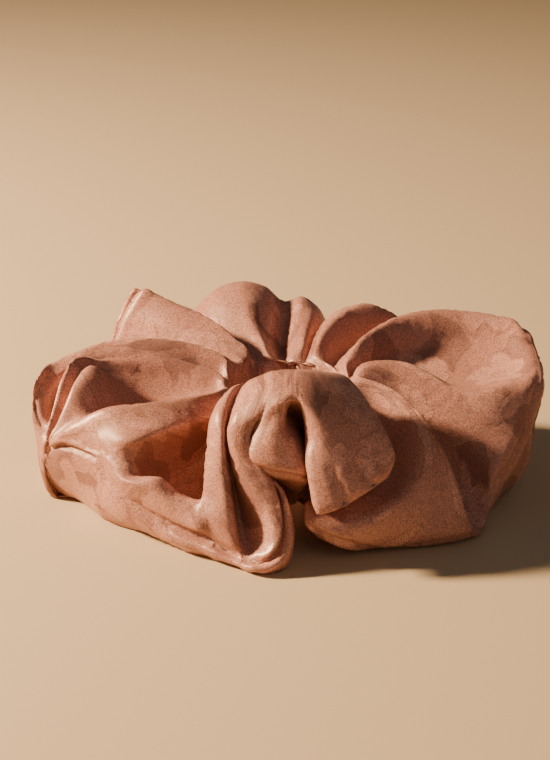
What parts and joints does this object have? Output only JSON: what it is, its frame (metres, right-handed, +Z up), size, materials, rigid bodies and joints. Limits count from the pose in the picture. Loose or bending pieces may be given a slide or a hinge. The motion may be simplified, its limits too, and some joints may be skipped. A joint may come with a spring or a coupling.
{
  "type": "scrunchie",
  "caption": "Gathered satin tube round a loop of flat elastic, which stretches open to hold hair.",
  "frame": {"origin": "middle of the hole, on the surface that the scrunchie lies on", "axes": "+Z up along the hole's axis; the loop is pulled open along +X"},
  "size_m": [0.109, 0.1056, 0.0385],
  "materials": {
    "satin": "satin",
    "elastic": "matte",
    "thread": "satin",
    "elastic_thread": "matte"
  },
  "bodies": {
    "left_half": {"cover_left": "satin", "elastic_left": "elastic", "long_seam_stitches_left": "thread", "closing_seam_stitches": "thread", "elastic_join_stitches": "elastic_thread"},
    "right_half": {"cover_right": "satin", "elastic_right": "elastic", "long_seam_stitches_right": "thread"}
  },
  "joints": [
    {"name": "stretch", "type": "slide", "parent": "left_half", "child": "right_half", "axis": [1, 0, 0], "range_m": [0, 0.08], "stiffness_N_per_m": 60}
  ]
}
